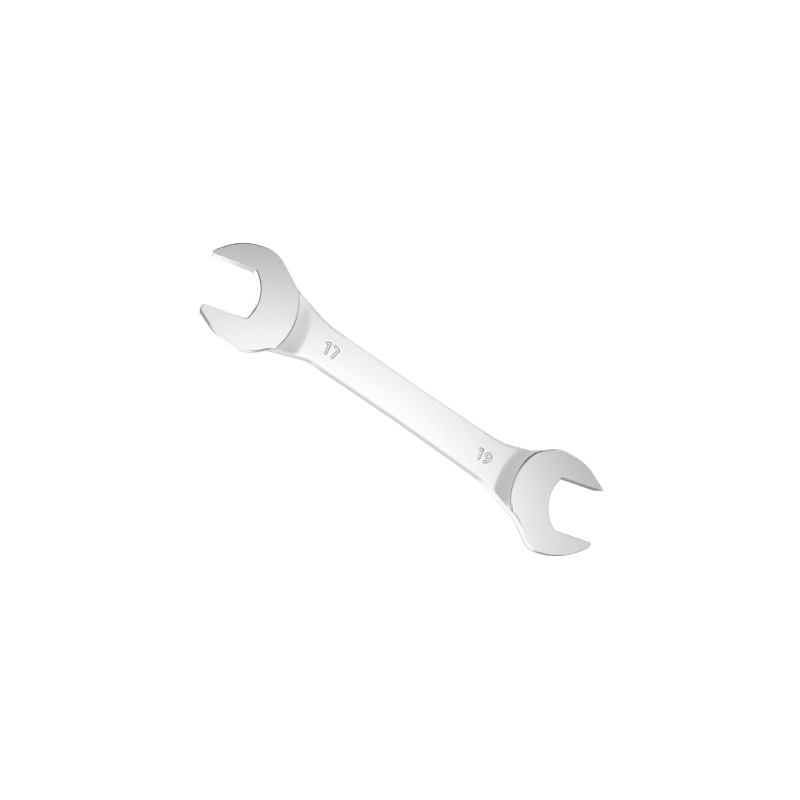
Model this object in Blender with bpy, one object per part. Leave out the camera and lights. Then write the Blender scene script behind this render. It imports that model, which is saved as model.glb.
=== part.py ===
"""Double open end wrench, drop forged in one piece, with a 17 mm and a 19 mm mouth.

The shank runs along X, the 17 mm head at -X and the 19 mm head at +X. The wrench lies flat on
the lower faces of its two heads, at z = 0. The origin is below the middle of the overall length
and width. Each head is drawn in its own jaw frame: u runs out of the mouth along the jaw axis,
v across it, counter-clockwise from u, and both are counted from the middle of the jaw flats.
"""

import math

import bmesh
import bpy
from mathutils import Vector

MM = 0.001

# Heads

NOMINAL_17 = 17.0 * MM
NOMINAL_19 = 19.0 * MM
JAW_PLAY = 0.1 * MM
HEAD_THICKNESS = 6.5 * MM
JAW_ANGLE = math.radians(15.0)
JAW_DISTANCE = 146.8 * MM
JAW_LINE_17 = -1.45 * MM
JAW_LINE_19 = 2.8 * MM
HEAD_BULGE = 0.3 * MM
HEAD_EDGE_RADIUS = 0.4 * MM
HEAD_FACE_RIM = 0.15 * MM
MOUTH_CHAMFER = 0.12 * MM
THROAT_CHAMFER = 0.26 * MM

# Shank

SHANK_THICKNESS = 5.8 * MM
SHANK_WIDTH_17 = 14.1 * MM
SHANK_WIDTH_MIDDLE = 13.8 * MM
SHANK_WIDTH_19 = 15.2 * MM
SHANK_EDGE_RADIUS = 1.8 * MM
SCOOP_DEPTH = 0.7 * MM
SCOOP_LENGTH = 8.0 * MM
SCOOP_SOFTENING = 0.6 * MM

# Outer corners of each jaw in shares of the nominal size: place along u and across v, corner
# radius, and how much of the forged side profile the wall has, 1 outside and 0 on a jaw flat

LONG_JAW_17_SHARES = (
    (0.510, -0.631, 0.053, 0.6),
    (0.116, -0.980, 1.091, 1.0),
    (-0.655, -1.036, 0.632, 1.0),
    (-1.302, -0.372, 0.0, 1.0),
)
SHORT_JAW_17_SHARES = (
    (-1.202, 0.886, 0.0, 1.0),
    (-1.086, 0.932, 0.340, 1.0),
    (-0.632, 1.204, 0.799, 1.0),
    (0.045, 0.951, 1.083, 1.0),
    (0.447, 0.627, 0.080, 0.6),
)
LONG_JAW_19_SHARES = (
    (0.447, -0.630, 0.110, 0.6),
    (0.021, -0.986, 1.341, 1.0),
    (-0.671, -1.013, 0.393, 1.0),
    (-1.113, -0.496, 0.608, 1.0),
    (-1.279, -0.405, 0.0, 1.0),
)
SHORT_JAW_19_SHARES = (
    (-1.120, 0.815, 0.0, 1.0),
    (-1.049, 0.860, 0.150, 1.0),
    (-0.659, 1.043, 0.556, 1.0),
    (-0.050, 0.945, 1.112, 1.0),
    (0.398, 0.576, 0.080, 0.6),
)

# Inner corner of each jaw's tip, on the flat: place along u and corner radius, in the same shares

LONG_TIP_17_SHARES = (0.585, 0.040)
SHORT_TIP_17_SHARES = (0.419, 0.060)
LONG_TIP_19_SHARES = (0.484, 0.042)
SHORT_TIP_19_SHARES = (0.434, 0.030)

# Round bottom of the mouth and round back of each head: centre along u and v, and radius

THROAT_17_SHARES = (0.217, 0.088, 0.807)
THROAT_19_SHARES = (0.136, 0.076, 0.745)
SHOULDER_17_SHARES = (-0.152, 0.170, 1.295)
SHOULDER_19_SHARES = (-0.289, 0.083, 1.112)

# Shank edges by each head, in shares of the nominal size from the middle of the jaws, along the
# shank and up across it: the edge's end inside the head, then the neck's corner and its radius

LONG_NECK_17_SHARES = ((0.500, 0.998), (1.136, 0.731), 0.853)
SHORT_NECK_17_SHARES = ((0.850, -0.877), (1.284, -0.617), 0.340)
LONG_NECK_19_SHARES = ((0.600, -0.966), (0.954, -0.789), 0.608)
SHORT_NECK_19_SHARES = ((0.900, 0.799), (1.372, 0.469), 0.100)

# Where a shank edge leaves its straight run, from the middle of the jaws, and the flare's radius

LONG_FLARE_17_SHARES = (1.989, 1.95)
SHORT_FLARE_17_SHARES = (2.065, 0.53)
LONG_FLARE_19_SHARES = (1.909, 1.39)
SHORT_FLARE_19_SHARES = (1.969, 1.53)

# Behind the middle of the jaws: where the scoop starts, and where the shank ends in the head

SCOOP_START_17_SHARE = 1.735
SCOOP_START_19_SHARE = 1.674
SHANK_END_SHARE = 0.88

# Fineness of the round stretches

ARC_STEP = math.radians(6.0)
HEAD_EDGE_STEPS = 3
HEAD_SIDE_STEPS = 2
SHANK_EDGE_STEPS = 5
SCOOP_STEPS = 9
SOFTENING_STEPS = 4
FLARE_STEPS = 8
MIDDLE_STEPS = 6
SMOOTH_ANGLE = math.radians(28.0)


class Jaw:
    """Frame of one head: the middle of its jaw flats, its jaw axis and its sizes."""

    def __init__(self, end, nominal, jaw_line):
        self.end = end
        self.nominal = nominal
        self.half_gap = (nominal + JAW_PLAY) / 2
        self.centre = Vector((end * JAW_DISTANCE / 2, jaw_line))
        self.along = end * Vector((math.cos(JAW_ANGLE), math.sin(JAW_ANGLE)))
        self.across = Vector((-self.along.y, self.along.x))

    def place(self, point):
        """Point of the wrench's plane for a point of the jaw frame."""
        return self.centre + point.x * self.along + point.y * self.across

    def toward_shank(self, shares):
        """Point given in shares of the nominal size, along the shank and up across it."""
        return self.centre + self.nominal * Vector((-self.end * shares[0], shares[1]))


def arc_points(centre, radius, start, end):
    """Points of an arc, both ends included."""
    steps = max(1, math.ceil(abs(end - start) / ARC_STEP))
    angles = [start + (end - start) * i / steps for i in range(steps + 1)]
    return [centre + radius * Vector((math.cos(a), math.sin(a))) for a in angles]


def rounded_path(corners):
    """Path through corners (point, radius, side share), each rounded but the first and last."""
    path = [(corners[0][0], corners[0][2])]
    for before, corner, after in zip(corners, corners[1:], corners[2:]):
        point, radius, side = corner
        if not radius:
            path.append((point, side))
            continue
        back = (before[0] - point).normalized()
        ahead = (after[0] - point).normalized()
        half_angle = back.angle(ahead) / 2
        centre = point + (back + ahead).normalized() * radius / math.sin(half_angle)
        first = point + back * radius / math.tan(half_angle) - centre
        start = math.atan2(first.y, first.x)
        sweep = math.copysign(math.pi - 2 * half_angle, -back.cross(ahead))
        path += [(arc_point, side) for arc_point in arc_points(centre, radius, start, start + sweep)]
    path.append((corners[-1][0], corners[-1][2]))
    return path


def throat_arc(jaw, throat_shares):
    """Bottom of the mouth, from the short jaw's flat round to the long jaw's."""
    u, v, radius = [share * jaw.nominal for share in throat_shares]
    start = math.pi - math.asin((jaw.half_gap - v) / radius)
    end = math.pi + math.asin((jaw.half_gap + v) / radius)
    return arc_points(Vector((u, v)), radius, start, end)


def shoulder_arc(jaw, shoulder_shares, start_point, end_point):
    """Back of the head, from the end of the long jaw's side round to the short jaw's."""
    u, v, radius = [share * jaw.nominal for share in shoulder_shares]
    start = Vector((u, v)) - start_point
    end = Vector((u, v)) - end_point
    start_angle = math.pi + math.atan2(start.y, start.x)
    end_angle = math.pi + math.atan2(end.y, end.x)
    return arc_points(Vector((u, v)), radius, start_angle, end_angle)


def jaw_corners(jaw, jaw_shares):
    """Corners of a jaw's outer side, from their shares of the nominal size."""
    size = jaw.nominal
    return [(Vector((u * size, v * size)), radius * size, side) for u, v, radius, side in jaw_shares]


def tip_corner(jaw, tip_shares, side):
    """Inner corner of a jaw's tip, on its flat."""
    place, radius = [share * jaw.nominal for share in tip_shares]
    return (Vector((place, side * jaw.half_gap)), radius, 0.0)


def head_outline(jaw, long_shares, long_tip, short_shares, short_tip, shoulder_shares,
                 throat_shares):
    """Closed outline of a head, clockwise from the long jaw's flat, with None in the throat."""
    throat = throat_arc(jaw, throat_shares)
    long_corners = [(throat[-1], 0.0, 0.0), tip_corner(jaw, long_tip, -1)]
    long_corners += jaw_corners(jaw, long_shares)
    short_corners = jaw_corners(jaw, short_shares)
    short_corners += [tip_corner(jaw, short_tip, 1), (throat[0], 0.0, 0.0)]
    long_side = rounded_path(long_corners)
    short_side = rounded_path(short_corners)
    shoulder = shoulder_arc(jaw, shoulder_shares, long_side[-1][0], short_side[0][0])
    outline = long_side[:-1] + [(point, 1.0) for point in shoulder] + short_side[1:-1]
    outline += [(throat[0], 0.0)] + [(point, None) for point in throat[1:-1]]
    return [(jaw.place(point), side) for point, side in outline]


def side_levels():
    """Heights of a head's side wall, with its insets on forged walls, jaw flats and the throat."""
    half = HEAD_THICKNESS / 2
    insets = (HEAD_BULGE + HEAD_EDGE_RADIUS, MOUTH_CHAMFER, THROAT_CHAMFER)
    levels = [(0.0, [inset + HEAD_FACE_RIM for inset in insets])]
    for i in range(HEAD_EDGE_STEPS + 1):
        angle = math.pi / 2 * i / HEAD_EDGE_STEPS
        height = HEAD_EDGE_RADIUS * (1 - math.cos(angle))
        forged = HEAD_BULGE + HEAD_EDGE_RADIUS * (1 - math.sin(angle))
        chamfers = [max(0.0, chamfer - height) for chamfer in (MOUTH_CHAMFER, THROAT_CHAMFER)]
        levels.append((height, [forged, *chamfers]))
    for i in range(1, HEAD_SIDE_STEPS + 1):
        rise = i / HEAD_SIDE_STEPS
        height = HEAD_EDGE_RADIUS + (half - HEAD_EDGE_RADIUS) * rise
        levels.append((height, [HEAD_BULGE * (1 - rise) ** 2, 0.0, 0.0]))
    return levels + [(HEAD_THICKNESS - height, insets) for height, insets in levels[-2::-1]]


def inward_normals(points):
    """Inward direction at each point of a clockwise outline, lengthened at its corners."""
    normals = []
    for i, point in enumerate(points):
        before = (point - points[i - 1]).normalized()
        after = (points[(i + 1) % len(points)] - point).normalized()
        inward = [Vector((edge.y, -edge.x)) for edge in (before, after)]
        normals.append((inward[0] + inward[1]) / (1 + inward[0].dot(inward[1])))
    return normals


def head_rings(outline):
    """Rings of a head from its lower face to its upper face."""
    normals = inward_normals([point for point, side in outline])
    rings = []
    for height, (forged, flat, throat) in side_levels():
        ring = []
        for (point, side), normal in zip(outline, normals):
            inset = throat if side is None else side * forged + (1 - side) * flat
            ring.append((*(point + inset * normal), height))
        rings.append(ring)
    return rings


def shank_edge(jaws, necks, flares, side):
    """One edge of the shank, from inside the 17 mm head to inside the 19 mm head."""
    runs = []
    for jaw, neck, flare, width in zip(jaws, necks, flares, (SHANK_WIDTH_17, SHANK_WIDTH_19)):
        end, corner, radius = neck
        flare_x = jaw.centre.x - jaw.end * flare[0] * jaw.nominal
        runs.append([
            (jaw.toward_shank(end), 0.0, 0.0),
            (jaw.toward_shank(corner), radius * jaw.nominal, 0.0),
            (Vector((flare_x, side * width / 2)), flare[1] * jaw.nominal, 0.0),
        ])
    waist = [(Vector((0, side * SHANK_WIDTH_MIDDLE / 2)), 0.0, 0.0)]
    return [point for point, share in rounded_path(runs[0] + waist + runs[1][::-1])]


def slanted(jaw, point):
    """A point counted along the 19 mm jaw axis and across it."""
    return (point.dot(jaw.along), point.dot(jaw.across))


def read_across(edge, along):
    """Place across the jaw axis of an edge, at a place along the axis."""
    for (a, across_a), (b, across_b) in zip(edge, edge[1:]):
        if a <= along <= b:
            return across_a + (across_b - across_a) * (along - a) / (b - a)
    raise ValueError("the shank is longer than its edges")


def scoop_drop(behind_start):
    """How far the shank's face has dropped, this far past the scoop's start."""
    way = max(0.0, behind_start)
    if abs(behind_start) < SCOOP_SOFTENING:
        way = (behind_start + SCOOP_SOFTENING) ** 2 / (4 * SCOOP_SOFTENING)
    share = min(1.0, way / SCOOP_LENGTH)
    return SCOOP_DEPTH * (2 * share - share ** 2)


def spread(start, end, steps):
    """Places from start up to end, without the end."""
    return [start + (end - start) * i / steps for i in range(steps)]


def shank_stations(ends, starts, flares):
    """Places of the shank's sections along the jaw axis, close together where it bends."""
    soft = SCOOP_SOFTENING
    stations = spread(ends[0], starts[0] - soft, SCOOP_STEPS)
    stations += spread(starts[0] - soft, starts[0] + soft, SOFTENING_STEPS)
    stations += spread(starts[0] + soft, flares[0], FLARE_STEPS)
    stations += spread(flares[0], flares[1], MIDDLE_STEPS)
    stations += spread(flares[1], starts[1] - soft, FLARE_STEPS)
    stations += spread(starts[1] - soft, starts[1] + soft, SOFTENING_STEPS)
    stations += spread(starts[1] + soft, ends[1], SCOOP_STEPS)
    return stations + [ends[1]]


def shank_section(low, high, half_height):
    """Rounded rectangle across the shank, as places across it and heights."""
    middle = HEAD_THICKNESS / 2
    radius = SHANK_EDGE_RADIUS
    section = []
    for turn, across, up in ((2, low, -1), (3, high, -1), (0, high, 1), (1, low, 1)):
        inner = across + radius if across == low else across - radius
        centre = Vector((inner, middle + up * (half_height - radius)))
        for i in range(SHANK_EDGE_STEPS + 1):
            angle = math.pi / 2 * (turn + i / SHANK_EDGE_STEPS)
            section.append(centre + radius * Vector((math.cos(angle), math.sin(angle))))
    return section


def shank_rings(jaws):
    """Sections of the shank, square to the jaw axes, from one head to the other."""
    jaw_17, jaw_19 = jaws
    upper = shank_edge(jaws, (LONG_NECK_17_SHARES, SHORT_NECK_19_SHARES),
                       (LONG_FLARE_17_SHARES, SHORT_FLARE_19_SHARES), 1)
    lower = shank_edge(jaws, (SHORT_NECK_17_SHARES, LONG_NECK_19_SHARES),
                       (SHORT_FLARE_17_SHARES, LONG_FLARE_19_SHARES), -1)
    upper = [slanted(jaw_19, point) for point in upper]
    lower = [slanted(jaw_19, point) for point in lower]
    middles = [slanted(jaw_19, jaw.centre)[0] for jaw in jaws]
    ends = [middles[0] + SHANK_END_SHARE * NOMINAL_17, middles[1] - SHANK_END_SHARE * NOMINAL_19]
    starts = [middles[0] + SCOOP_START_17_SHARE * NOMINAL_17,
              middles[1] - SCOOP_START_19_SHARE * NOMINAL_19]
    flares = [middles[0] + (LONG_FLARE_17_SHARES[0] + LONG_FLARE_17_SHARES[1] / 4) * NOMINAL_17,
              middles[1] - (LONG_FLARE_19_SHARES[0] + LONG_FLARE_19_SHARES[1] / 4) * NOMINAL_19]
    rings = []
    for along in shank_stations(ends, starts, flares):
        drop = scoop_drop(starts[0] - along) + scoop_drop(along - starts[1])
        section = shank_section(read_across(lower, along), read_across(upper, along),
                                SHANK_THICKNESS / 2 - drop)
        ring = []
        for across, height in section:
            point = along * jaw_19.along + across * jaw_19.across
            ring.append((point.x, point.y, height))
        rings.append(ring)
    return rings


def loft(name, rings, middle, material):
    """Closed solid through rings of equally many points, counted from the part's middle."""
    form = bmesh.new()
    loops = [[form.verts.new(Vector(point) - middle) for point in ring] for ring in rings]
    count = len(loops[0])
    for lower, upper in zip(loops, loops[1:]):
        for i in range(count):
            j = (i + 1) % count
            form.faces.new((lower[i], lower[j], upper[j], upper[i]))
    form.faces.new(loops[0][::-1])
    form.faces.new(loops[-1])
    bmesh.ops.recalc_face_normals(form, faces=form.faces)
    mesh = bpy.data.meshes.new(name)
    form.to_mesh(mesh)
    form.free()
    mesh.shade_smooth()
    mesh.set_sharp_from_angle(angle=SMOOTH_ANGLE)
    mesh.materials.append(material)
    solid = bpy.data.objects.new(name, mesh)
    bpy.context.scene.collection.objects.link(solid)
    return solid


def fuse(body, limb):
    """Join a limb to the body, and keep the limb only as a hidden guide."""
    join = body.modifiers.new(limb.name, "BOOLEAN")
    join.operation = "UNION"
    join.solver = "EXACT"
    join.object = limb
    limb.hide_render = True
    limb.display_type = "WIRE"


def chrome():
    """Bright polished chrome plate."""
    material = bpy.data.materials.new("polished_chrome")
    material.use_nodes = True
    shader = material.node_tree.nodes["Principled BSDF"]
    shader.inputs["Base Color"].default_value = (0.78, 0.79, 0.80, 1.0)
    shader.inputs["Metallic"].default_value = 1.0
    shader.inputs["Roughness"].default_value = 0.08
    return material


def outlines_of(jaws):
    """Outlines of the 17 mm head and of the 19 mm head."""
    jaw_17, jaw_19 = jaws
    return (
        head_outline(jaw_17, LONG_JAW_17_SHARES, LONG_TIP_17_SHARES, SHORT_JAW_17_SHARES,
                     SHORT_TIP_17_SHARES, SHOULDER_17_SHARES, THROAT_17_SHARES),
        head_outline(jaw_19, LONG_JAW_19_SHARES, LONG_TIP_19_SHARES, SHORT_JAW_19_SHARES,
                     SHORT_TIP_19_SHARES, SHOULDER_19_SHARES, THROAT_19_SHARES),
    )


def middle_of(outlines):
    """Middle of the length and width that the outlines take, on the lower faces' plane."""
    points = [point for outline in outlines for point, side in outline]
    xs = [point.x for point in points]
    ys = [point.y for point in points]
    return Vector((min(xs) + max(xs), min(ys) + max(ys), 0)) / 2


def build_wrench():
    """The wrench: a shank whose two ends are fused into the heads."""
    material = chrome()
    jaws = (Jaw(-1, NOMINAL_17, JAW_LINE_17), Jaw(1, NOMINAL_19, JAW_LINE_19))
    outlines = outlines_of(jaws)
    middle = middle_of(outlines)
    wrench = loft("wrench", shank_rings(jaws), middle, material)
    for name, outline in zip(("head_17", "head_19"), outlines):
        fuse(wrench, loft(name, head_rings(outline), middle, material))


for old in list(bpy.data.objects):
    bpy.data.objects.remove(old, do_unlink=True)
build_wrench()
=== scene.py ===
"""Double open end wrench in polished chrome, drop forged in one piece, with 17 mm and 19 mm mouths.

The wrench lies along X on a pale floor, the 17 mm head at -X. Each head is drawn in its own jaw
frame: u runs out of the mouth along the jaw axis, v across it, counter-clockwise from u.
"""

import math

import bmesh
import bpy
from mathutils import Matrix, Vector


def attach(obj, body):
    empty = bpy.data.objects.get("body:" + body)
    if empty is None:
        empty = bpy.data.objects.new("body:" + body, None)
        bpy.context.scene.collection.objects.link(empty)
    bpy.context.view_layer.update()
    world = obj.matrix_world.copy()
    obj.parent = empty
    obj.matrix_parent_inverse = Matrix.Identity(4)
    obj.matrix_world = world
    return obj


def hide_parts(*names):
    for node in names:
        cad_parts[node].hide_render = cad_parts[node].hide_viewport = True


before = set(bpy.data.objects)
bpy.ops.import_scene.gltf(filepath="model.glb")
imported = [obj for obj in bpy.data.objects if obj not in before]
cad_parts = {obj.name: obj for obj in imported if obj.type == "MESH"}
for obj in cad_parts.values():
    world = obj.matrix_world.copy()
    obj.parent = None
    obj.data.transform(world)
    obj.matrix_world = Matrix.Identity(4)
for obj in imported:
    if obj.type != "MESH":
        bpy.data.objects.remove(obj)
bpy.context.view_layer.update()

MM = 0.001

# Heads

NOMINAL_17 = 17.0 * MM
NOMINAL_19 = 19.0 * MM
JAW_PLAY = 0.1 * MM
HEAD_THICKNESS = 6.5 * MM
JAW_ANGLE = math.radians(15.0)
JAW_DISTANCE = 146.8 * MM
JAW_LINE_17 = -1.45 * MM
JAW_LINE_19 = 2.8 * MM
HEAD_BULGE = 0.3 * MM
HEAD_EDGE_RADIUS = 0.4 * MM
HEAD_FACE_RIM = 0.15 * MM
MOUTH_CHAMFER = 0.12 * MM
THROAT_CHAMFER = 0.26 * MM

# Shank

SHANK_THICKNESS = 5.8 * MM
SHANK_WIDTH_17 = 14.1 * MM
SHANK_WIDTH_MIDDLE = 13.8 * MM
SHANK_WIDTH_19 = 15.2 * MM
SHANK_EDGE_RADIUS = 0.45 * MM
SCOOP_DEPTH = 0.7 * MM
SCOOP_LENGTH = 8.0 * MM
SCOOP_SOFTENING = 1.3 * MM

# Outer corners of each jaw in shares of the nominal size: place along u and across v, corner
# radius, and how much of the forged side profile the wall has, 1 outside and 0 on a jaw flat

LONG_JAW_17_SHARES = (
    (0.510, -0.631, 0.053, 0.6),
    (0.116, -0.980, 1.091, 1.0),
    (-0.655, -1.036, 0.632, 1.0),
    (-1.302, -0.372, 0.0, 1.0),
)
SHORT_JAW_17_SHARES = (
    (-1.202, 0.886, 0.0, 1.0),
    (-1.086, 0.932, 0.340, 1.0),
    (-0.632, 1.204, 0.799, 1.0),
    (0.045, 0.951, 1.083, 1.0),
    (0.447, 0.627, 0.080, 0.6),
)
LONG_JAW_19_SHARES = (
    (0.447, -0.630, 0.110, 0.6),
    (0.021, -0.986, 1.341, 1.0),
    (-0.671, -1.013, 0.393, 1.0),
    (-1.113, -0.496, 0.608, 1.0),
    (-1.279, -0.405, 0.0, 1.0),
)
SHORT_JAW_19_SHARES = (
    (-1.120, 0.815, 0.0, 1.0),
    (-1.049, 0.860, 0.150, 1.0),
    (-0.659, 1.043, 0.556, 1.0),
    (-0.050, 0.945, 1.112, 1.0),
    (0.398, 0.576, 0.080, 0.6),
)

# Inner corner of each jaw's tip, on the flat: place along u and corner radius, in the same shares

LONG_TIP_17_SHARES = (0.585, 0.040)
SHORT_TIP_17_SHARES = (0.419, 0.060)
LONG_TIP_19_SHARES = (0.484, 0.042)
SHORT_TIP_19_SHARES = (0.434, 0.030)

# Round bottom of the mouth and round back of each head: centre along u and v, and radius

THROAT_17_SHARES = (0.217, 0.088, 0.807)
THROAT_19_SHARES = (0.136, 0.076, 0.745)
SHOULDER_17_SHARES = (-0.152, 0.170, 1.295)
SHOULDER_19_SHARES = (-0.289, 0.083, 1.112)

# Side share of the 17 mm and the 19 mm head's shoulder, and the share of a shoulder's length that
# each end takes to reach it

SHOULDER_SIDE_SHARES = (1.7, 0.5)
SHOULDER_END_SHARE = 0.12

# Shank edges by each head, in shares of the nominal size from the middle of the jaws, along the
# shank and up across it: the edge's end inside the head, then the neck's corner and its radius

LONG_NECK_17_SHARES = ((0.500, 0.998), (1.136, 0.731), 0.853)
SHORT_NECK_17_SHARES = ((0.850, -0.877), (1.284, -0.617), 0.340)
LONG_NECK_19_SHARES = ((0.600, -0.966), (0.954, -0.789), 0.608)
SHORT_NECK_19_SHARES = ((0.900, 0.799), (1.372, 0.469), 0.100)

# Where a shank edge leaves its straight run, from the middle of the jaws, and the flare's radius

LONG_FLARE_17_SHARES = (1.989, 1.95)
SHORT_FLARE_17_SHARES = (2.065, 0.53)
LONG_FLARE_19_SHARES = (1.909, 1.39)
SHORT_FLARE_19_SHARES = (1.969, 1.53)

# Behind the middle of the jaws, along the shank: where each scoop starts, and how far that start
# moves for each length up across the shank. It also bows toward the head at the shank's edges.

SCOOP_START_17_SHARE = 1.713
SCOOP_START_19_SHARE = 1.675
SCOOP_LEAN_17 = -0.21
SCOOP_LEAN_19 = 0.0
SCOOP_BOW = 0.9 * MM

# The 17 mm head's scoop is shallower toward the shank's upper edge: this share of its depth fades
# away between these two places up across the shank

SCOOP_FADE_17 = (3.5 * MM, 10.5 * MM)
SCOOP_FADE_SHARE = 0.55

# Where the shank's solid ends inside each head, from the middle of the jaws

SHANK_END_SHARE = 0.88

# Stamped numerals: each straight stroke from end to end, then the bowl and tail of the nine

NUMERAL_DEPTH = 0.36 * MM
NUMERAL_OVERRUN = 0.1 * MM
STROKE_TOP_WIDTH = 1.02 * MM
STROKE_FLOOR_WIDTH = 0.46 * MM
STROKES = (
    ("stem_of_17", (-35.12 * MM, 1.17 * MM), (-34.68 * MM, -2.53 * MM)),
    ("flag_of_17", (-36.08 * MM, 0.75 * MM), (-35.12 * MM, 1.17 * MM)),
    ("seven_bar", (-33.00 * MM, 1.25 * MM), (-31.45 * MM, 0.84 * MM)),
    ("seven_leg", (-31.45 * MM, 0.84 * MM), (-32.00 * MM, -2.50 * MM)),
    ("stem_of_19", (30.90 * MM, 0.96 * MM), (31.33 * MM, -2.52 * MM)),
    ("flag_of_19", (30.00 * MM, 0.58 * MM), (30.90 * MM, 0.96 * MM)),
)
BOWL_CENTRE = (34.04 * MM, -0.09 * MM)
BOWL_RADIUS = 1.04 * MM
TAIL_CENTRE = (32.68 * MM, -0.33 * MM)
TAIL_RADIUS = 2.40 * MM
TAIL_START = math.radians(8.0)
TAIL_END = math.radians(-68.0)
CAP_STEPS = 12
BOWL_STEPS = 48

# The finer outline is drawn in by this much, so it stays inside the plainer one

OUTLINE_INSET = 0.006 * MM

# The shank's sections lie close together this far about each scoop's start, in shares of the
# shank's width, and from there into each flare, in shares of its radius

START_REACH_SHARE = 0.25
FLARE_REACH_SHARE = 0.25

# Fineness of the round stretches, and of the faces and runs between them

ARC_STEP = math.radians(2.0)
HEAD_EDGE_STEPS = 8
HEAD_SIDE_STEPS = 6
SHANK_EDGE_STEPS = 14
SCOOP_STEPS = 30
SOFTENING_STEPS = 36
FACE_STEPS = 24
FLARE_STEPS = 40
MIDDLE_STEPS = 40
SHARP_ANGLE = math.radians(24.0)


class Jaw:
    """Frame of one head: the middle of its jaw flats, its jaw axis and its sizes."""

    def __init__(self, end, nominal, jaw_line):
        self.end = end
        self.nominal = nominal
        self.half_gap = (nominal + JAW_PLAY) / 2
        self.centre = Vector((end * JAW_DISTANCE / 2, jaw_line))
        self.along = end * Vector((math.cos(JAW_ANGLE), math.sin(JAW_ANGLE)))
        self.across = Vector((-self.along.y, self.along.x))

    def place(self, point):
        """Point of the wrench's plane for a point of the jaw frame."""
        return self.centre + point.x * self.along + point.y * self.across

    def toward_shank(self, shares):
        """Point given in shares of the nominal size, along the shank and up across it."""
        return self.centre + self.nominal * Vector((-self.end * shares[0], shares[1]))


def arc_points(centre, radius, start, end):
    """Points of an arc, both ends included."""
    steps = max(1, math.ceil(abs(end - start) / ARC_STEP))
    angles = [start + (end - start) * i / steps for i in range(steps + 1)]
    return [centre + radius * Vector((math.cos(a), math.sin(a))) for a in angles]


def rounded_path(corners):
    """Path through corners (point, radius, side share), each rounded but the first and last."""
    path = [(corners[0][0], corners[0][2])]
    for before, corner, after in zip(corners, corners[1:], corners[2:]):
        point, radius, side = corner
        if not radius:
            path.append((point, side))
            continue
        back = (before[0] - point).normalized()
        ahead = (after[0] - point).normalized()
        half_angle = back.angle(ahead) / 2
        centre = point + (back + ahead).normalized() * radius / math.sin(half_angle)
        first = point + back * radius / math.tan(half_angle) - centre
        start = math.atan2(first.y, first.x)
        sweep = math.copysign(math.pi - 2 * half_angle, -back.cross(ahead))
        path += [(arc_point, side) for arc_point in arc_points(centre, radius, start, start + sweep)]
    path.append((corners[-1][0], corners[-1][2]))
    return path


def throat_arc(jaw, throat_shares):
    """Bottom of the mouth, from the short jaw's flat round to the long jaw's."""
    u, v, radius = [share * jaw.nominal for share in throat_shares]
    start = math.pi - math.asin((jaw.half_gap - v) / radius)
    end = math.pi + math.asin((jaw.half_gap + v) / radius)
    return arc_points(Vector((u, v)), radius, start, end)


def shoulder_arc(jaw, shoulder_shares, start_point, end_point):
    """Back of the head, from the end of the long jaw's side round to the short jaw's."""
    u, v, radius = [share * jaw.nominal for share in shoulder_shares]
    start = Vector((u, v)) - start_point
    end = Vector((u, v)) - end_point
    start_angle = math.pi + math.atan2(start.y, start.x)
    end_angle = math.pi + math.atan2(end.y, end.x)
    return arc_points(Vector((u, v)), radius, start_angle, end_angle)


def shoulder_sides(jaw, shoulder):
    """Points of a shoulder with their side shares, which are 1 at both ends."""
    full_share = SHOULDER_SIDE_SHARES[0 if jaw.end < 0 else 1]
    marked = []
    for i, point in enumerate(shoulder):
        way = min(i, len(shoulder) - 1 - i) / (len(shoulder) - 1)
        share = min(1.0, way / SHOULDER_END_SHARE)
        marked.append((point, 1.0 - (1.0 - full_share) * share))
    return marked


def jaw_corners(jaw, jaw_shares):
    """Corners of a jaw's outer side, from their shares of the nominal size."""
    size = jaw.nominal
    return [(Vector((u * size, v * size)), radius * size, side) for u, v, radius, side in jaw_shares]


def tip_corner(jaw, tip_shares, side):
    """Inner corner of a jaw's tip, on its flat."""
    place, radius = [share * jaw.nominal for share in tip_shares]
    return (Vector((place, side * jaw.half_gap)), radius, 0.0)


def head_outline(jaw, long_shares, long_tip, short_shares, short_tip, shoulder_shares,
                 throat_shares):
    """Closed outline of a head, clockwise from the long jaw's flat, with None in the throat."""
    throat = throat_arc(jaw, throat_shares)
    long_corners = [(throat[-1], 0.0, 0.0), tip_corner(jaw, long_tip, -1)]
    long_corners += jaw_corners(jaw, long_shares)
    short_corners = jaw_corners(jaw, short_shares)
    short_corners += [tip_corner(jaw, short_tip, 1), (throat[0], 0.0, 0.0)]
    long_side = rounded_path(long_corners)
    short_side = rounded_path(short_corners)
    shoulder = shoulder_arc(jaw, shoulder_shares, long_side[-1][0], short_side[0][0])
    outline = long_side[:-1] + shoulder_sides(jaw, shoulder) + short_side[1:-1]
    outline += [(throat[0], 0.0)] + [(point, None) for point in throat[1:-1]]
    return [(jaw.place(point), side) for point, side in outline]


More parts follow.
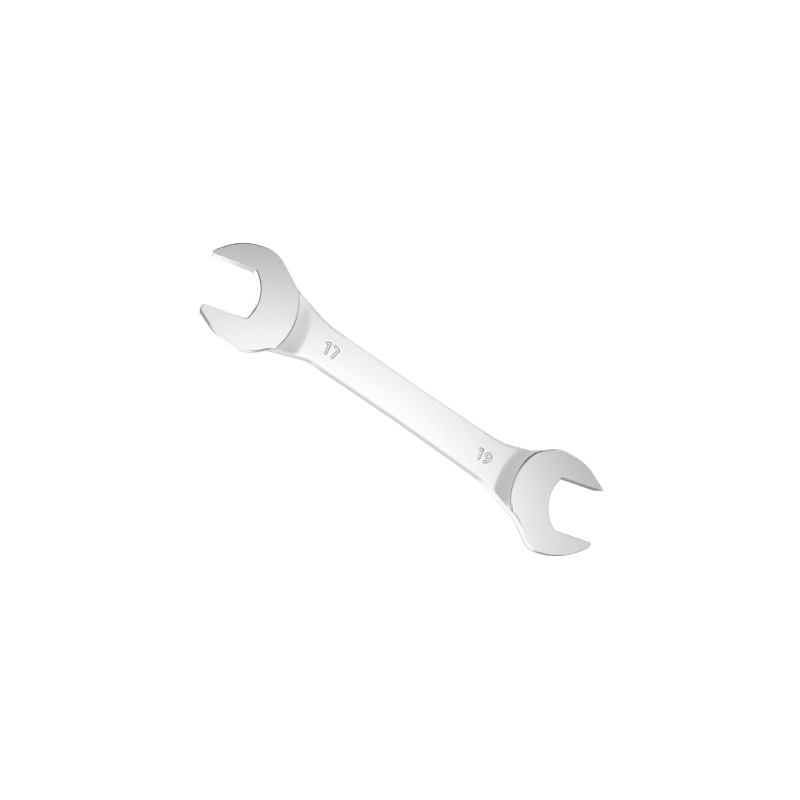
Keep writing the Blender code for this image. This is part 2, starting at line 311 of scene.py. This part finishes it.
def side_levels():
    """Heights of a head's side wall, with its insets on forged walls, jaw flats and the throat."""
    half = HEAD_THICKNESS / 2
    insets = (HEAD_BULGE + HEAD_EDGE_RADIUS, MOUTH_CHAMFER, THROAT_CHAMFER)
    levels = [(0.0, [inset + HEAD_FACE_RIM for inset in insets])]
    for i in range(HEAD_EDGE_STEPS + 1):
        angle = math.pi / 2 * i / HEAD_EDGE_STEPS
        height = HEAD_EDGE_RADIUS * (1 - math.cos(angle))
        forged = HEAD_BULGE + HEAD_EDGE_RADIUS * (1 - math.sin(angle))
        chamfers = [max(0.0, chamfer - height) for chamfer in (MOUTH_CHAMFER, THROAT_CHAMFER)]
        levels.append((height, [forged, *chamfers]))
    for i in range(1, HEAD_SIDE_STEPS + 1):
        rise = i / HEAD_SIDE_STEPS
        height = HEAD_EDGE_RADIUS + (half - HEAD_EDGE_RADIUS) * rise
        levels.append((height, [HEAD_BULGE * (1 - rise) ** 2, 0.0, 0.0]))
    return levels + [(HEAD_THICKNESS - height, insets) for height, insets in levels[-2::-1]]


def inward_normals(points):
    """Inward direction at each point of a clockwise outline, lengthened at its corners."""
    normals = []
    for i, point in enumerate(points):
        before = (point - points[i - 1]).normalized()
        after = (points[(i + 1) % len(points)] - point).normalized()
        inward = [Vector((edge.y, -edge.x)) for edge in (before, after)]
        normals.append((inward[0] + inward[1]) / (1 + inward[0].dot(inward[1])))
    return normals


def head_rings(outline):
    """Rings of a head from its lower face to its upper face."""
    normals = inward_normals([point for point, side in outline])
    rings = []
    for height, (forged, flat, throat) in side_levels():
        ring = []
        for (point, side), normal in zip(outline, normals):
            inset = throat if side is None else side * forged + (1 - side) * flat
            inset += OUTLINE_INSET
            ring.append((*(point + inset * normal), height))
        rings.append(ring)
    return rings


def shank_edge(jaws, necks, flares, side):
    """One edge of the shank, from inside the 17 mm head to inside the 19 mm head."""
    runs = []
    for jaw, neck, flare, width in zip(jaws, necks, flares, (SHANK_WIDTH_17, SHANK_WIDTH_19)):
        end, corner, radius = neck
        flare_x = jaw.centre.x - jaw.end * flare[0] * jaw.nominal
        runs.append([
            (jaw.toward_shank(end), 0.0, 0.0),
            (jaw.toward_shank(corner), radius * jaw.nominal, 0.0),
            (Vector((flare_x, side * width / 2)), flare[1] * jaw.nominal, 0.0),
        ])
    waist = [(Vector((0, side * SHANK_WIDTH_MIDDLE / 2)), 0.0, 0.0)]
    return [point for point, share in rounded_path(runs[0] + waist + runs[1][::-1])]


def slanted(jaw, point):
    """A point counted along a jaw's axis and across it."""
    return (point.dot(jaw.along), point.dot(jaw.across))


def read_across(edge, along):
    """Place across the jaw axis of an edge, at a place along the axis."""
    for (a, across_a), (b, across_b) in zip(edge, edge[1:]):
        if a <= along <= b:
            return across_a + (across_b - across_a) * (along - a) / (b - a)
    raise ValueError("the shank is longer than its edges")


def scoop_drop(behind_start):
    """How far the shank's face has dropped, this far past the scoop's start."""
    way = max(0.0, behind_start)
    if abs(behind_start) < SCOOP_SOFTENING:
        way = (behind_start + SCOOP_SOFTENING) ** 2 / (4 * SCOOP_SOFTENING)
    share = min(1.0, way / SCOOP_LENGTH)
    return SCOOP_DEPTH * (2 * share - share ** 2)


def spread(start, end, steps):
    """Places from start up to end, without the end."""
    return [start + (end - start) * i / steps for i in range(steps)]


def eased(way):
    """Soft rise from 0 to 1 as the way goes from 0 to 1."""
    way = min(1.0, max(0.0, way))
    return way * way * (3.0 - 2.0 * way)


def scoop_drops(jaws, point):
    """How far both scoops have lowered the shank's face at a point of the plane."""
    low, high = SCOOP_FADE_17
    left_of_17 = 1.0 - SCOOP_FADE_SHARE * eased((point.y - low) / (high - low))
    bow = SCOOP_BOW * (2 * point.y / SHANK_WIDTH_MIDDLE) ** 2
    starts = (SCOOP_START_17_SHARE, SCOOP_START_19_SHARE)
    leans = (SCOOP_LEAN_17, SCOOP_LEAN_19)
    drop = 0.0
    for jaw, share, lean, left in zip(jaws, starts, leans, (left_of_17, 1.0)):
        start = jaw.centre.x - jaw.end * share * jaw.nominal + lean * point.y + jaw.end * bow
        drop += left * scoop_drop(jaw.end * (point.x - start))
    return drop


def shank_stations(ends, starts, flares):
    """Places of the shank's sections along the jaw axis, close together where it bends."""
    soft = SCOOP_SOFTENING + START_REACH_SHARE * SHANK_WIDTH_MIDDLE
    stations = spread(ends[0], starts[0] - soft, SCOOP_STEPS)
    stations += spread(starts[0] - soft, starts[0] + soft, SOFTENING_STEPS)
    stations += spread(starts[0] + soft, flares[0], FLARE_STEPS)
    stations += spread(flares[0], flares[1], MIDDLE_STEPS)
    stations += spread(flares[1], starts[1] - soft, FLARE_STEPS)
    stations += spread(starts[1] - soft, starts[1] + soft, SOFTENING_STEPS)
    stations += spread(starts[1] + soft, ends[1], SCOOP_STEPS)
    return stations + [ends[1]]


def shank_section(low, high):
    """Rounded rectangle across the shank: places across it, heights, and 1 above or -1 below."""
    middle = HEAD_THICKNESS / 2
    radius = SHANK_EDGE_RADIUS
    half_height = SHANK_THICKNESS / 2
    section = []
    # Each corner's first quarter turn, its edge, below or above, and which way a face leads on
    for turn, across, up, onward in ((2, low, -1, 1), (3, high, -1, 0), (0, high, 1, -1), (1, low, 1, 0)):
        inner = across + radius if across == low else across - radius
        centre = Vector((inner, middle + up * (half_height - radius)))
        for i in range(SHANK_EDGE_STEPS + 1):
            angle = math.pi / 2 * (turn + i / SHANK_EDGE_STEPS)
            section.append((centre + radius * Vector((math.cos(angle), math.sin(angle))), up))
        if onward:
            first = section[-1][0]
            span = (high - low - 2 * radius) * onward
            section += [(first + Vector((span * i / FACE_STEPS, 0)), up) for i in range(1, FACE_STEPS)]
    return section


def shank_rings(jaws):
    """Sections of the shank, square to the jaw axes, from one head to the other."""
    jaw_17, jaw_19 = jaws
    upper = shank_edge(jaws, (LONG_NECK_17_SHARES, SHORT_NECK_19_SHARES),
                       (LONG_FLARE_17_SHARES, SHORT_FLARE_19_SHARES), 1)
    lower = shank_edge(jaws, (SHORT_NECK_17_SHARES, LONG_NECK_19_SHARES),
                       (SHORT_FLARE_17_SHARES, LONG_FLARE_19_SHARES), -1)
    upper = [slanted(jaw_19, point) for point in upper]
    lower = [slanted(jaw_19, point) for point in lower]
    middles = [slanted(jaw_19, jaw.centre)[0] for jaw in jaws]
    ends = [middles[0] + SHANK_END_SHARE * NOMINAL_17, middles[1] - SHANK_END_SHARE * NOMINAL_19]
    starts = [middles[0] + SCOOP_START_17_SHARE * NOMINAL_17,
              middles[1] - SCOOP_START_19_SHARE * NOMINAL_19]
    flare_17, radius_17 = LONG_FLARE_17_SHARES
    flare_19, radius_19 = LONG_FLARE_19_SHARES
    flares = [middles[0] + (flare_17 + FLARE_REACH_SHARE * radius_17) * NOMINAL_17,
              middles[1] - (flare_19 + FLARE_REACH_SHARE * radius_19) * NOMINAL_19]
    rings = []
    for along in shank_stations(ends, starts, flares):
        ring = []
        for (across, height), up in shank_section(read_across(lower, along), read_across(upper, along)):
            point = along * jaw_19.along + across * jaw_19.across
            ring.append((point.x, point.y, height - up * scoop_drops(jaws, point)))
        rings.append(ring)
    return rings


def solid_from_rings(name, rings, middle, ring_shaped=False):
    """Closed solid through rings of equally many points, counted from the part's middle."""
    form = bmesh.new()
    loops = [[form.verts.new(Vector(point) - middle) for point in ring] for ring in rings]
    count = len(loops[0])
    pairs = list(zip(loops, loops[1:]))
    if ring_shaped:
        pairs.append((loops[-1], loops[0]))
    else:
        form.faces.new(loops[0][::-1])
        form.faces.new(loops[-1])
    for lower, upper in pairs:
        for i in range(count):
            j = (i + 1) % count
            form.faces.new((lower[i], lower[j], upper[j], upper[i]))
    bmesh.ops.recalc_face_normals(form, faces=form.faces)
    mesh = bpy.data.meshes.new(name)
    form.to_mesh(mesh)
    form.free()
    solid = bpy.data.objects.new(name, mesh)
    bpy.context.scene.collection.objects.link(solid)
    return solid


def boolean(body, tool, operation):
    """Unite a tool with the body, or cut it out."""
    step = body.modifiers.new(tool.name, "BOOLEAN")
    step.operation = operation
    step.solver = "EXACT"
    step.object = tool


def turned(direction, quarters):
    """A direction of the plane, turned by this many quarter turns counter-clockwise."""
    angle = math.atan2(direction.y, direction.x) + quarters * math.pi / 2
    return Vector((math.cos(angle), math.sin(angle)))


def stroke_outline(path, width):
    """Outline of a stroke of this width round an open path, with round ends."""
    outline = []
    for way in (path, path[::-1]):
        for i, point in enumerate(way[:-1]):
            direction = (way[i + 1] - way[max(i - 1, 0)]).normalized()
            outline.append(point + turned(direction, -1) * width / 2)
        direction = (way[-1] - way[-2]).normalized()
        cap = [turned(direction, 2 * i / CAP_STEPS - 1) for i in range(CAP_STEPS)]
        outline += [way[-1] + side * width / 2 for side in cap]
    return outline


def groove_levels(surface):
    """Width and height of a stamped stroke at its floor and just above the surface."""
    slope = (STROKE_TOP_WIDTH - STROKE_FLOOR_WIDTH) / NUMERAL_DEPTH
    return ((STROKE_FLOOR_WIDTH, surface - NUMERAL_DEPTH),
            (STROKE_TOP_WIDTH + slope * NUMERAL_OVERRUN, surface + NUMERAL_OVERRUN))


def groove(name, path, surface, middle):
    """Cutter for one stamped stroke along an open path, with sloped walls and a flat floor."""
    rings = [[(*point, height) for point in stroke_outline(path, width)]
             for width, height in groove_levels(surface)]
    return solid_from_rings(name, rings, middle)


def round_groove(name, centre, radius, surface, middle):
    """Cutter for a stamped circle, with sloped walls and a flat floor."""
    floor, top = groove_levels(surface)
    rings = []
    for width, height, side in ((*floor, -1), (*floor, 1), (*top, 1), (*top, -1)):
        reach = radius + side * width / 2
        turns = [2 * math.pi * i / BOWL_STEPS for i in range(BOWL_STEPS)]
        rings.append([
            (centre.x + reach * math.cos(a), centre.y + reach * math.sin(a), height) for a in turns
        ])
    return solid_from_rings(name, rings, middle, ring_shaped=True)


def numeral_cutters(surface, middle):
    """Cutters for the numerals 17 and 19 in the shank's upper face."""
    flat_middle = middle.to_2d()
    cutters = [groove(name, [flat_middle + Vector(start), flat_middle + Vector(end)], surface, middle)
               for name, start, end in STROKES]
    tail = arc_points(flat_middle + Vector(TAIL_CENTRE), TAIL_RADIUS, TAIL_START, TAIL_END)
    bowl_centre = flat_middle + Vector(BOWL_CENTRE)
    cutters.append(round_groove("nine_bowl", bowl_centre, BOWL_RADIUS, surface, middle))
    cutters.append(groove("nine_tail", tail, surface, middle))
    return cutters


def outlines_of(jaws):
    """Outlines of the 17 mm head and of the 19 mm head."""
    jaw_17, jaw_19 = jaws
    return (
        head_outline(jaw_17, LONG_JAW_17_SHARES, LONG_TIP_17_SHARES, SHORT_JAW_17_SHARES,
                     SHORT_TIP_17_SHARES, SHOULDER_17_SHARES, THROAT_17_SHARES),
        head_outline(jaw_19, LONG_JAW_19_SHARES, LONG_TIP_19_SHARES, SHORT_JAW_19_SHARES,
                     SHORT_TIP_19_SHARES, SHOULDER_19_SHARES, THROAT_19_SHARES),
    )


def middle_of(outlines):
    """Middle of the length and width that the outlines take, on the lower faces' plane."""
    points = [point for outline in outlines for point, side in outline]
    xs = [point.x for point in points]
    ys = [point.y for point in points]
    return Vector((min(xs) + max(xs), min(ys) + max(ys), 0)) / 2


def build_wrench():
    """The wrench in one mesh: shank and heads united, numerals stamped into the upper face."""
    jaws = (Jaw(-1, NOMINAL_17, JAW_LINE_17), Jaw(1, NOMINAL_19, JAW_LINE_19))
    outlines = outlines_of(jaws)
    middle = middle_of(outlines)
    form = solid_from_rings("wrench_form", shank_rings(jaws), middle)
    tools = []
    for name, outline in zip(("head_17", "head_19"), outlines):
        tools.append(solid_from_rings(name, head_rings(outline), middle))
        boolean(form, tools[-1], "UNION")
    surface = (HEAD_THICKNESS + SHANK_THICKNESS) / 2
    for cutter in numeral_cutters(surface, middle):
        tools.append(cutter)
        boolean(form, cutter, "DIFFERENCE")
    bpy.context.view_layer.update()
    evaluated = form.evaluated_get(bpy.context.evaluated_depsgraph_get())
    mesh = bpy.data.meshes.new_from_object(evaluated)
    mesh.name = "chrome_wrench"
    for tool in tools + [form]:
        bpy.data.objects.remove(tool, do_unlink=True)
    wrench = bpy.data.objects.new("chrome_wrench", mesh)
    bpy.context.scene.collection.objects.link(wrench)
    mesh.shade_smooth()
    mesh.set_sharp_from_angle(angle=SHARP_ANGLE)
    weigh = wrench.modifiers.new("even_shading", "WEIGHTED_NORMAL")
    weigh.keep_sharp = True
    return wrench


# Finish

# Chrome, with painted shade on the walls of its hollow corners and painted dark reflections, in patches,
# along its outer edges. EDGES are the shares of free room near a place at which an effect starts and is
# full, and TILT is the same for how far its normal points up.

CORNER_SAMPLES = 16
CHROME_COLOUR = (0.865, 0.865, 0.878, 1.0)
# Painted shade: colour for the steep walls in hollow corners and for the sides round the jaw tips
PAINTED_SHADE_COLOUR = (0.10, 0.10, 0.11, 1.0)
RECESS_REACH = 0.5 * MM
RECESS_EDGES = (0.98, 0.80)
RECESS_TILT = (0.97, 0.80)
# Painted dark reflections on the outer edges, broken up in patches
RIM_SHADE_COLOUR = (0.34, 0.34, 0.35, 1.0)
RIM_REACH = 0.4 * MM
RIM_EDGES = (0.95, 0.70)
RIM_SHARE = 0.75
RIM_PATCH_DETAIL = 2.0
RIM_PATCH_EDGES = (0.2, 0.6)

# Painted shade on the sides round the jaw tips: middle, where it fades out and is full, strength, and its
# top

TIP_SHADES = (
    ((-77.9 * MM, -14.3 * MM, 0.0), (9.0 * MM, 2.0 * MM), 0.88, (5.0 * MM, 2.6 * MM)),
    ((84.8 * MM, -7.1 * MM, 0.0), (23.0 * MM, 12.0 * MM), 0.45, (7.5 * MM, 7.0 * MM)),
    ((78.0 * MM, 14.8 * MM, 0.0), (22.0 * MM, 4.0 * MM), 0.22, (7.5 * MM, 7.0 * MM)),
)
SIDE_TILT = (0.97, 0.75)

# Polish: light lines of the last wheel, faint waves of the plating, and spots of handling

LINE_SCALE = (260.0, 5200.0, 2600.0)
LINE_DETAIL = 3.0
WAVE_SCALE = 55.0
WAVE_DETAIL = 1.0
SPOT_SCALE = 900.0
SPOT_DETAIL = 4.0
SPOT_SHARE = 0.6
ROUGHNESS_EDGES = (0.35, 0.65)
ROUGHNESS = (0.05, 0.105)
LINE_HEIGHT = 0.0006 * MM
WAVE_HEIGHT = 0.006 * MM


def new_group(name, sockets):
    """Empty node group with these sockets: name, direction and type of each."""
    group = bpy.data.node_groups.new(name, "ShaderNodeTree")
    for socket_name, direction, kind in sockets:
        group.interface.new_socket(name=socket_name, in_out=direction, socket_type="NodeSocket" + kind)
    return group


def math_node(tree, operation, *values):
    """One Math node, with each input a number or another node's output."""
    node = tree.nodes.new("ShaderNodeMath")
    node.operation = operation
    for socket, value in zip(node.inputs, values):
        if isinstance(value, (int, float)):
            socket.default_value = value
        else:
            tree.links.new(value, socket)
    return node.outputs[0]


def smooth_step(tree, value, start, end):
    """From 0 at start to 1 at end, softly."""
    node = tree.nodes.new("ShaderNodeMapRange")
    node.interpolation_type = "SMOOTHSTEP"
    tree.links.new(value, node.inputs["Value"])
    node.inputs["From Min"].default_value = min(start, end)
    node.inputs["From Max"].default_value = max(start, end)
    node.inputs["To Min"].default_value = 0.0 if start < end else 1.0
    node.inputs["To Max"].default_value = 1.0 if start < end else 0.0
    return node.outputs["Result"]


def blend_values(tree, share, low, high):
    """Low where the share is 0 and high where it is 1."""
    node = tree.nodes.new("ShaderNodeMix")
    sockets = (node.inputs["Factor"], node.inputs["A"], node.inputs["B"])
    for socket, value in zip(sockets, (share, low, high)):
        if isinstance(value, (int, float)):
            socket.default_value = value
        else:
            tree.links.new(value, socket)
    return node.outputs["Result"]


def noise(tree, place, scale, detail):
    """Noise value at a place."""
    node = tree.nodes.new("ShaderNodeTexNoise")
    tree.links.new(place, node.inputs["Vector"])
    node.inputs["Scale"].default_value = scale
    node.inputs["Detail"].default_value = detail
    return node.outputs["Fac"]


def polish_group():
    """Group giving the roughness and the height of the polished plate at a place."""
    group = new_group("polish", (("Place", "INPUT", "Vector"), ("Roughness", "OUTPUT", "Float"),
                                 ("Height", "OUTPUT", "Float")))
    place = group.nodes.new("NodeGroupInput").outputs["Place"]
    out = group.nodes.new("NodeGroupOutput")
    stretch = group.nodes.new("ShaderNodeMapping")
    stretch.inputs["Scale"].default_value = LINE_SCALE
    group.links.new(place, stretch.inputs["Vector"])
    lines = noise(group, stretch.outputs["Vector"], 1.0, LINE_DETAIL)
    waves = noise(group, place, WAVE_SCALE, WAVE_DETAIL)
    spots = noise(group, place, SPOT_SCALE, SPOT_DETAIL)
    line_part = math_node(group, "MULTIPLY", lines, 1.0 - SPOT_SHARE)
    mixed = math_node(group, "MULTIPLY_ADD", spots, SPOT_SHARE, line_part)
    share = smooth_step(group, mixed, *ROUGHNESS_EDGES)
    group.links.new(blend_values(group, share, *ROUGHNESS), out.inputs["Roughness"])
    line_height = math_node(group, "MULTIPLY", lines, LINE_HEIGHT)
    height = math_node(group, "MULTIPLY_ADD", waves, WAVE_HEIGHT, line_height)
    group.links.new(height, out.inputs["Height"])
    return group


def tip_shade_group():
    """Group giving how much painted shade darkens the plate at a place: the forged sides round the jaw
    tips.
    """
    group = new_group("tip_shade", (("Place", "INPUT", "Vector"), ("Normal", "INPUT", "Vector"),
                                    ("Shade", "OUTPUT", "Float")))
    inside = group.nodes.new("NodeGroupInput")
    split = group.nodes.new("ShaderNodeSeparateXYZ")
    group.links.new(inside.outputs["Place"], split.inputs[0])
    lean = group.nodes.new("ShaderNodeSeparateXYZ")
    group.links.new(inside.outputs["Normal"], lean.inputs[0])
    total = 0.0
    for middle, reach, strength, top in TIP_SHADES:
        away = group.nodes.new("ShaderNodeVectorMath")
        away.operation = "DISTANCE"
        group.links.new(inside.outputs["Place"], away.inputs[0])
        away.inputs[1].default_value = middle
        near = smooth_step(group, away.outputs["Value"], *reach)
        low = smooth_step(group, split.outputs["Z"], *top)
        shade = math_node(group, "MULTIPLY", math_node(group, "MULTIPLY", near, low), strength)
        total = math_node(group, "MAXIMUM", total, shade)
    side = smooth_step(group, lean.outputs["Z"], *SIDE_TILT)
    out = group.nodes.new("NodeGroupOutput")
    group.links.new(math_node(group, "MULTIPLY", total, side), out.inputs["Shade"])
    return group


def placed_group(tree, group, **values):
    """A node group in a material, fed with these outputs of other nodes."""
    node = tree.nodes.new("ShaderNodeGroup")
    node.node_tree = group
    for name, value in values.items():
        tree.links.new(value, node.inputs[name])
    return node


def near_corners(tree, reach, edges, inside):
    """Share by which a place is near a hollow corner, or near an outer edge from the inside."""
    node = tree.nodes.new("ShaderNodeAmbientOcclusion")
    node.only_local = True
    node.inside = inside
    node.samples = CORNER_SAMPLES
    node.inputs["Distance"].default_value = reach
    return smooth_step(tree, node.outputs["AO"], *edges)


def blend_colours(tree, share, low, high):
    """Low where the share is 0 and high where it is 1."""
    node = tree.nodes.new("ShaderNodeMix")
    node.data_type = "RGBA"
    tree.links.new(share, node.inputs["Factor"])
    for socket, colour in ((node.inputs[6], low), (node.inputs[7], high)):
        if isinstance(colour, tuple):
            socket.default_value = colour
        else:
            tree.links.new(colour, socket)
    return node.outputs[2]


def chrome():
    """Bright polished chrome plate, with painted shade in hollow corners, painted dark reflections in
    patches on its outer edges, and painted shade on the sides round the jaw tips.
    """
    material = bpy.data.materials.new("polished_chrome")
    material.use_nodes = True
    tree = material.node_tree
    shader = tree.nodes["Principled BSDF"]
    shader.inputs["Metallic"].default_value = 1.0
    place = tree.nodes.new("ShaderNodeTexCoord").outputs["Object"]
    normal = tree.nodes.new("ShaderNodeNewGeometry").outputs["Normal"]
    # Painted dark reflections: outer edges darkened in noise patches, standing in for the dark room that
    # the rounded edges mirror
    rim_shade = near_corners(tree, RIM_REACH, RIM_EDGES, True)
    spots = smooth_step(tree, noise(tree, place, SPOT_SCALE, RIM_PATCH_DETAIL), *RIM_PATCH_EDGES)
    rim_shade = math_node(tree, "MULTIPLY", math_node(tree, "MULTIPLY", rim_shade, spots), RIM_SHARE)
    colour = blend_colours(tree, rim_shade, CHROME_COLOUR, RIM_SHADE_COLOUR)
    # Painted shade on the sides round the jaw tips
    shade = placed_group(tree, tip_shade_group(), Place=place, Normal=normal).outputs["Shade"]
    colour = blend_colours(tree, shade, colour, PAINTED_SHADE_COLOUR)
    # Painted shade: steep walls near hollow corners are darkened, where shade falls in the corner
    lean = tree.nodes.new("ShaderNodeSeparateXYZ")
    tree.links.new(normal, lean.inputs[0])
    steep = smooth_step(tree, lean.outputs["Z"], *RECESS_TILT)
    recess = near_corners(tree, RECESS_REACH, RECESS_EDGES, False)
    colour = blend_colours(tree, math_node(tree, "MULTIPLY", steep, recess), colour, PAINTED_SHADE_COLOUR)
    tree.links.new(colour, shader.inputs["Base Color"])
    polish = placed_group(tree, polish_group(), Place=place)
    tree.links.new(polish.outputs["Roughness"], shader.inputs["Roughness"])
    bump = tree.nodes.new("ShaderNodeBump")
    bump.inputs["Distance"].default_value = 1.0
    tree.links.new(polish.outputs["Height"], bump.inputs["Height"])
    tree.links.new(bump.outputs["Normal"], shader.inputs["Normal"])
    return material


# Studio

# A floor and a lamp that the chrome doesn't mirror

FLOOR_SIZE = 1.2
FLOOR_GAP = 0.02 * MM
FLOOR_COLOUR = (0.9, 0.9, 0.9, 1.0)
FLOOR_ROUGHNESS = 0.9
LAMP_HEIGHT = 1.2
LAMP_SIZE = 1.4
LAMP_POWER = 26.0

# Camera at the photograph's angle: its place, its right and up directions, and its lens

CAMERA_PLACE = (-74.06 * MM, -77.19 * MM, 342.00 * MM)
CAMERA_RIGHT = (0.80748, 0.51642, 0.28511)
CAMERA_UP = (-0.55521, 0.82863, 0.07157)
CAMERA_LENS = 45.45
CAMERA_CLIP_START = 10.0 * MM

# Room that the chrome mirrors, by the direction of the reflection. A patch has its light and one
# or two pairs of soft edges, past which it shows, and covers the patches before it. An oval softbox
# lies over the ceiling's patches, and the walls have their light by compass degrees.

CHROME_GAIN = 1.16
SOFTBOX_MIDDLE = (0.183, 0.107)
SOFTBOX_RADII = (0.282, 0.189)
SOFTBOX_EDGE = (1.33, 0.36)
SOFTBOX_LIGHT = 1.04
CEILING_LIGHT = 0.342
CEILING_PATCHES = (
    (0.62, ("x", 0.0, -0.12), ("y", 0.27, 0.20)),
    (0.51, ("x", 0.38, 0.50), None),
    (0.95, ("x", -0.10, 0.05), ("y", 0.32, 0.42)),
    (1.0, ("x", -0.30, -0.42), ("y", 0.40, 0.30)),
    (0.05, ("x", -0.10, -0.22), ("y", 0.30, 0.40)),
    (0.60, ("x", -0.48, -0.60), None),
    (1.0, ("y", -0.05, -0.30), None),
    (0.60, ("y", -0.52, -0.64), None),
)
WALL_TOP = 0.56
WALL_FOOT = 0.36
WALL_LIGHTS = (
    (-180, 0.02), (-125, 0.02), (-118, 0.30), (-111, 0.85), (-90, 0.90), (-76, 0.95), (-58, 0.80),
    (-47, 0.30), (-38, 0.06), (30, 0.04), (50, 0.10), (70, 0.25), (97, 0.35), (106, 0.06), (180, 0.04),
)
GROUND_EDGE = (0.62, 0.48)
GROUND_LIGHT = 0.92
GROUND_PATCHES = (
    (0.16, ("x", 0.0, -0.13), ("y", -0.43, -0.31)),
    (0.62, ("x", -0.40, -0.50), ("y", -0.60, -0.50)),
    (0.95, ("y", -0.20, -0.11), None),
    (0.12, ("x", 0.03, -0.02), ("y", 0.18, 0.22)),
    (0.60, ("x", 0.095, 0.125), ("y", -0.30, -0.22)),
    (0.30, ("x", 0.30, 0.46), ("y", -0.34, -0.24)),
    (0.08, ("x", 0.22, 0.36), ("y", 0.0, 0.08)),
    (1.0, ("x", -0.13, -0.16), ("y", -0.20, -0.10)),
    (0.05, ("x", -0.24, -0.34), ("y", -0.36, -0.26)),
    (0.80, ("x", -0.15, -0.21), ("y", 0.11, 0.16)),
)
STUDIO_TINT = (1.0, 1.0, 1.012, 1.0)


def pale_floor():
    """Plain white floor under the wrench."""
    form = bmesh.new()
    bmesh.ops.create_grid(form, x_segments=1, y_segments=1, size=FLOOR_SIZE / 2)
    mesh = bpy.data.meshes.new("floor")
    form.to_mesh(mesh)
    form.free()
    floor = bpy.data.objects.new("floor", mesh)
    floor.location.z = -FLOOR_GAP
    floor.visible_glossy = False
    bpy.context.scene.collection.objects.link(floor)
    material = bpy.data.materials.new("matt_white")
    material.use_nodes = True
    shader = material.node_tree.nodes["Principled BSDF"]
    shader.inputs["Base Color"].default_value = FLOOR_COLOUR
    shader.inputs["Roughness"].default_value = FLOOR_ROUGHNESS
    mesh.materials.append(material)


def round_reach(tree, x, y, middle, radii):
    """How far a direction lies from an oval's middle, 1 on the oval."""
    parts = []
    for value, centre, radius in zip((x, y), middle, radii):
        share = math_node(tree, "MULTIPLY_ADD", value, 1 / radius, -centre / radius)
        parts.append(math_node(tree, "MULTIPLY", share, share))
    return math_node(tree, "SQRT", math_node(tree, "ADD", *parts))


def patched(tree, place, light, patches):
    """A light value, changed to each patch's own where the direction lies past its softened edges."""
    for patch_light, first, second in patches:
        share = smooth_step(tree, place[first[0]], first[1], first[2])
        if second:
            share = math_node(tree, "MULTIPLY", share, smooth_step(tree, place[second[0]], *second[1:]))
        light = blend_values(tree, share, light, patch_light)
    return light


def walls(tree, place):
    """Light of the room's walls, by the compass direction they are seen in."""
    turn = math_node(tree, "ARCTAN2", place["y"], place["x"])
    share = math_node(tree, "MULTIPLY_ADD", turn, 1 / (2 * math.pi), 0.5)
    ramp = tree.nodes.new("ShaderNodeValToRGB")
    tree.links.new(share, ramp.inputs[0])
    stops = ramp.color_ramp.elements
    while len(stops) < len(WALL_LIGHTS):
        stops.new(0.5)
    for stop, (degrees, light) in zip(stops, WALL_LIGHTS):
        stop.position = (degrees + 180) / 360
        stop.color = (light, light, light, 1)
    return ramp.outputs["Color"]


def studio_world():
    """White room with a soft light overhead and darker side walls, seen only in reflections."""
    world = bpy.data.worlds.new("studio")
    bpy.context.scene.world = world
    world.use_nodes = True
    tree = world.node_tree
    tree.nodes.clear()
    direction = tree.nodes.new("ShaderNodeTexCoord")
    split = tree.nodes.new("ShaderNodeSeparateXYZ")
    tree.links.new(direction.outputs["Generated"], split.inputs[0])
    place = dict(zip("xyz", split.outputs))
    reach = round_reach(tree, place["x"], place["y"], SOFTBOX_MIDDLE, SOFTBOX_RADII)
    base = patched(tree, place, CEILING_LIGHT, CEILING_PATCHES)
    ceiling = blend_values(tree, smooth_step(tree, reach, *SOFTBOX_EDGE), base, SOFTBOX_LIGHT)
    wall = walls(tree, place)
    upper = blend_values(tree, smooth_step(tree, place["z"], WALL_FOOT, WALL_TOP), wall, ceiling)
    aside = round_reach(tree, place["x"], place["y"], (0.0, 0.0), (1.0, 1.0))
    ground = patched(tree, place, GROUND_LIGHT, GROUND_PATCHES)
    lower = blend_values(tree, smooth_step(tree, aside, *GROUND_EDGE), wall, ground)
    light = blend_values(tree, math_node(tree, "GREATER_THAN", place["z"], 0.0), lower, upper)
    seen = tree.nodes.new("ShaderNodeLightPath")
    light = math_node(tree, "MULTIPLY", light, CHROME_GAIN)
    shown = blend_values(tree, seen.outputs["Is Camera Ray"], light, 1.0)
    background = tree.nodes.new("ShaderNodeBackground")
    background.inputs["Color"].default_value = STUDIO_TINT
    tree.links.new(shown, background.inputs["Strength"])
    out = tree.nodes.new("ShaderNodeOutputWorld")
    tree.links.new(background.outputs[0], out.inputs["Surface"])


def floor_lamp():
    """Wide soft lamp overhead that lights the floor and isn't mirrored in the chrome."""
    data = bpy.data.lights.new("overhead_lamp", "AREA")
    data.shape = "DISK"
    data.size = LAMP_SIZE
    data.energy = LAMP_POWER
    lamp = bpy.data.objects.new("overhead_lamp", data)
    lamp.location = (0, 0, LAMP_HEIGHT)
    lamp.visible_glossy = False
    lamp.visible_camera = False
    bpy.context.scene.collection.objects.link(lamp)


def camera():
    """Camera above the smaller head, as in the photograph."""
    data = bpy.data.cameras.new("camera")
    data.lens = CAMERA_LENS
    data.clip_start = CAMERA_CLIP_START
    view = bpy.data.objects.new("camera", data)
    right = Vector(CAMERA_RIGHT).normalized()
    back = right.cross(Vector(CAMERA_UP)).normalized()
    turn = Matrix((right, back.cross(right), back)).transposed()
    view.matrix_world = Matrix.Translation(CAMERA_PLACE) @ turn.to_4x4()
    bpy.context.scene.collection.objects.link(view)
    bpy.context.scene.camera = view


wrench = build_wrench()
wrench.data.materials.clear()
wrench.data.materials.append(chrome())
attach(wrench, "root")
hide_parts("wrench")

pale_floor()
studio_world()
floor_lamp()
camera()
bpy.context.scene.view_settings.view_transform = "Standard"
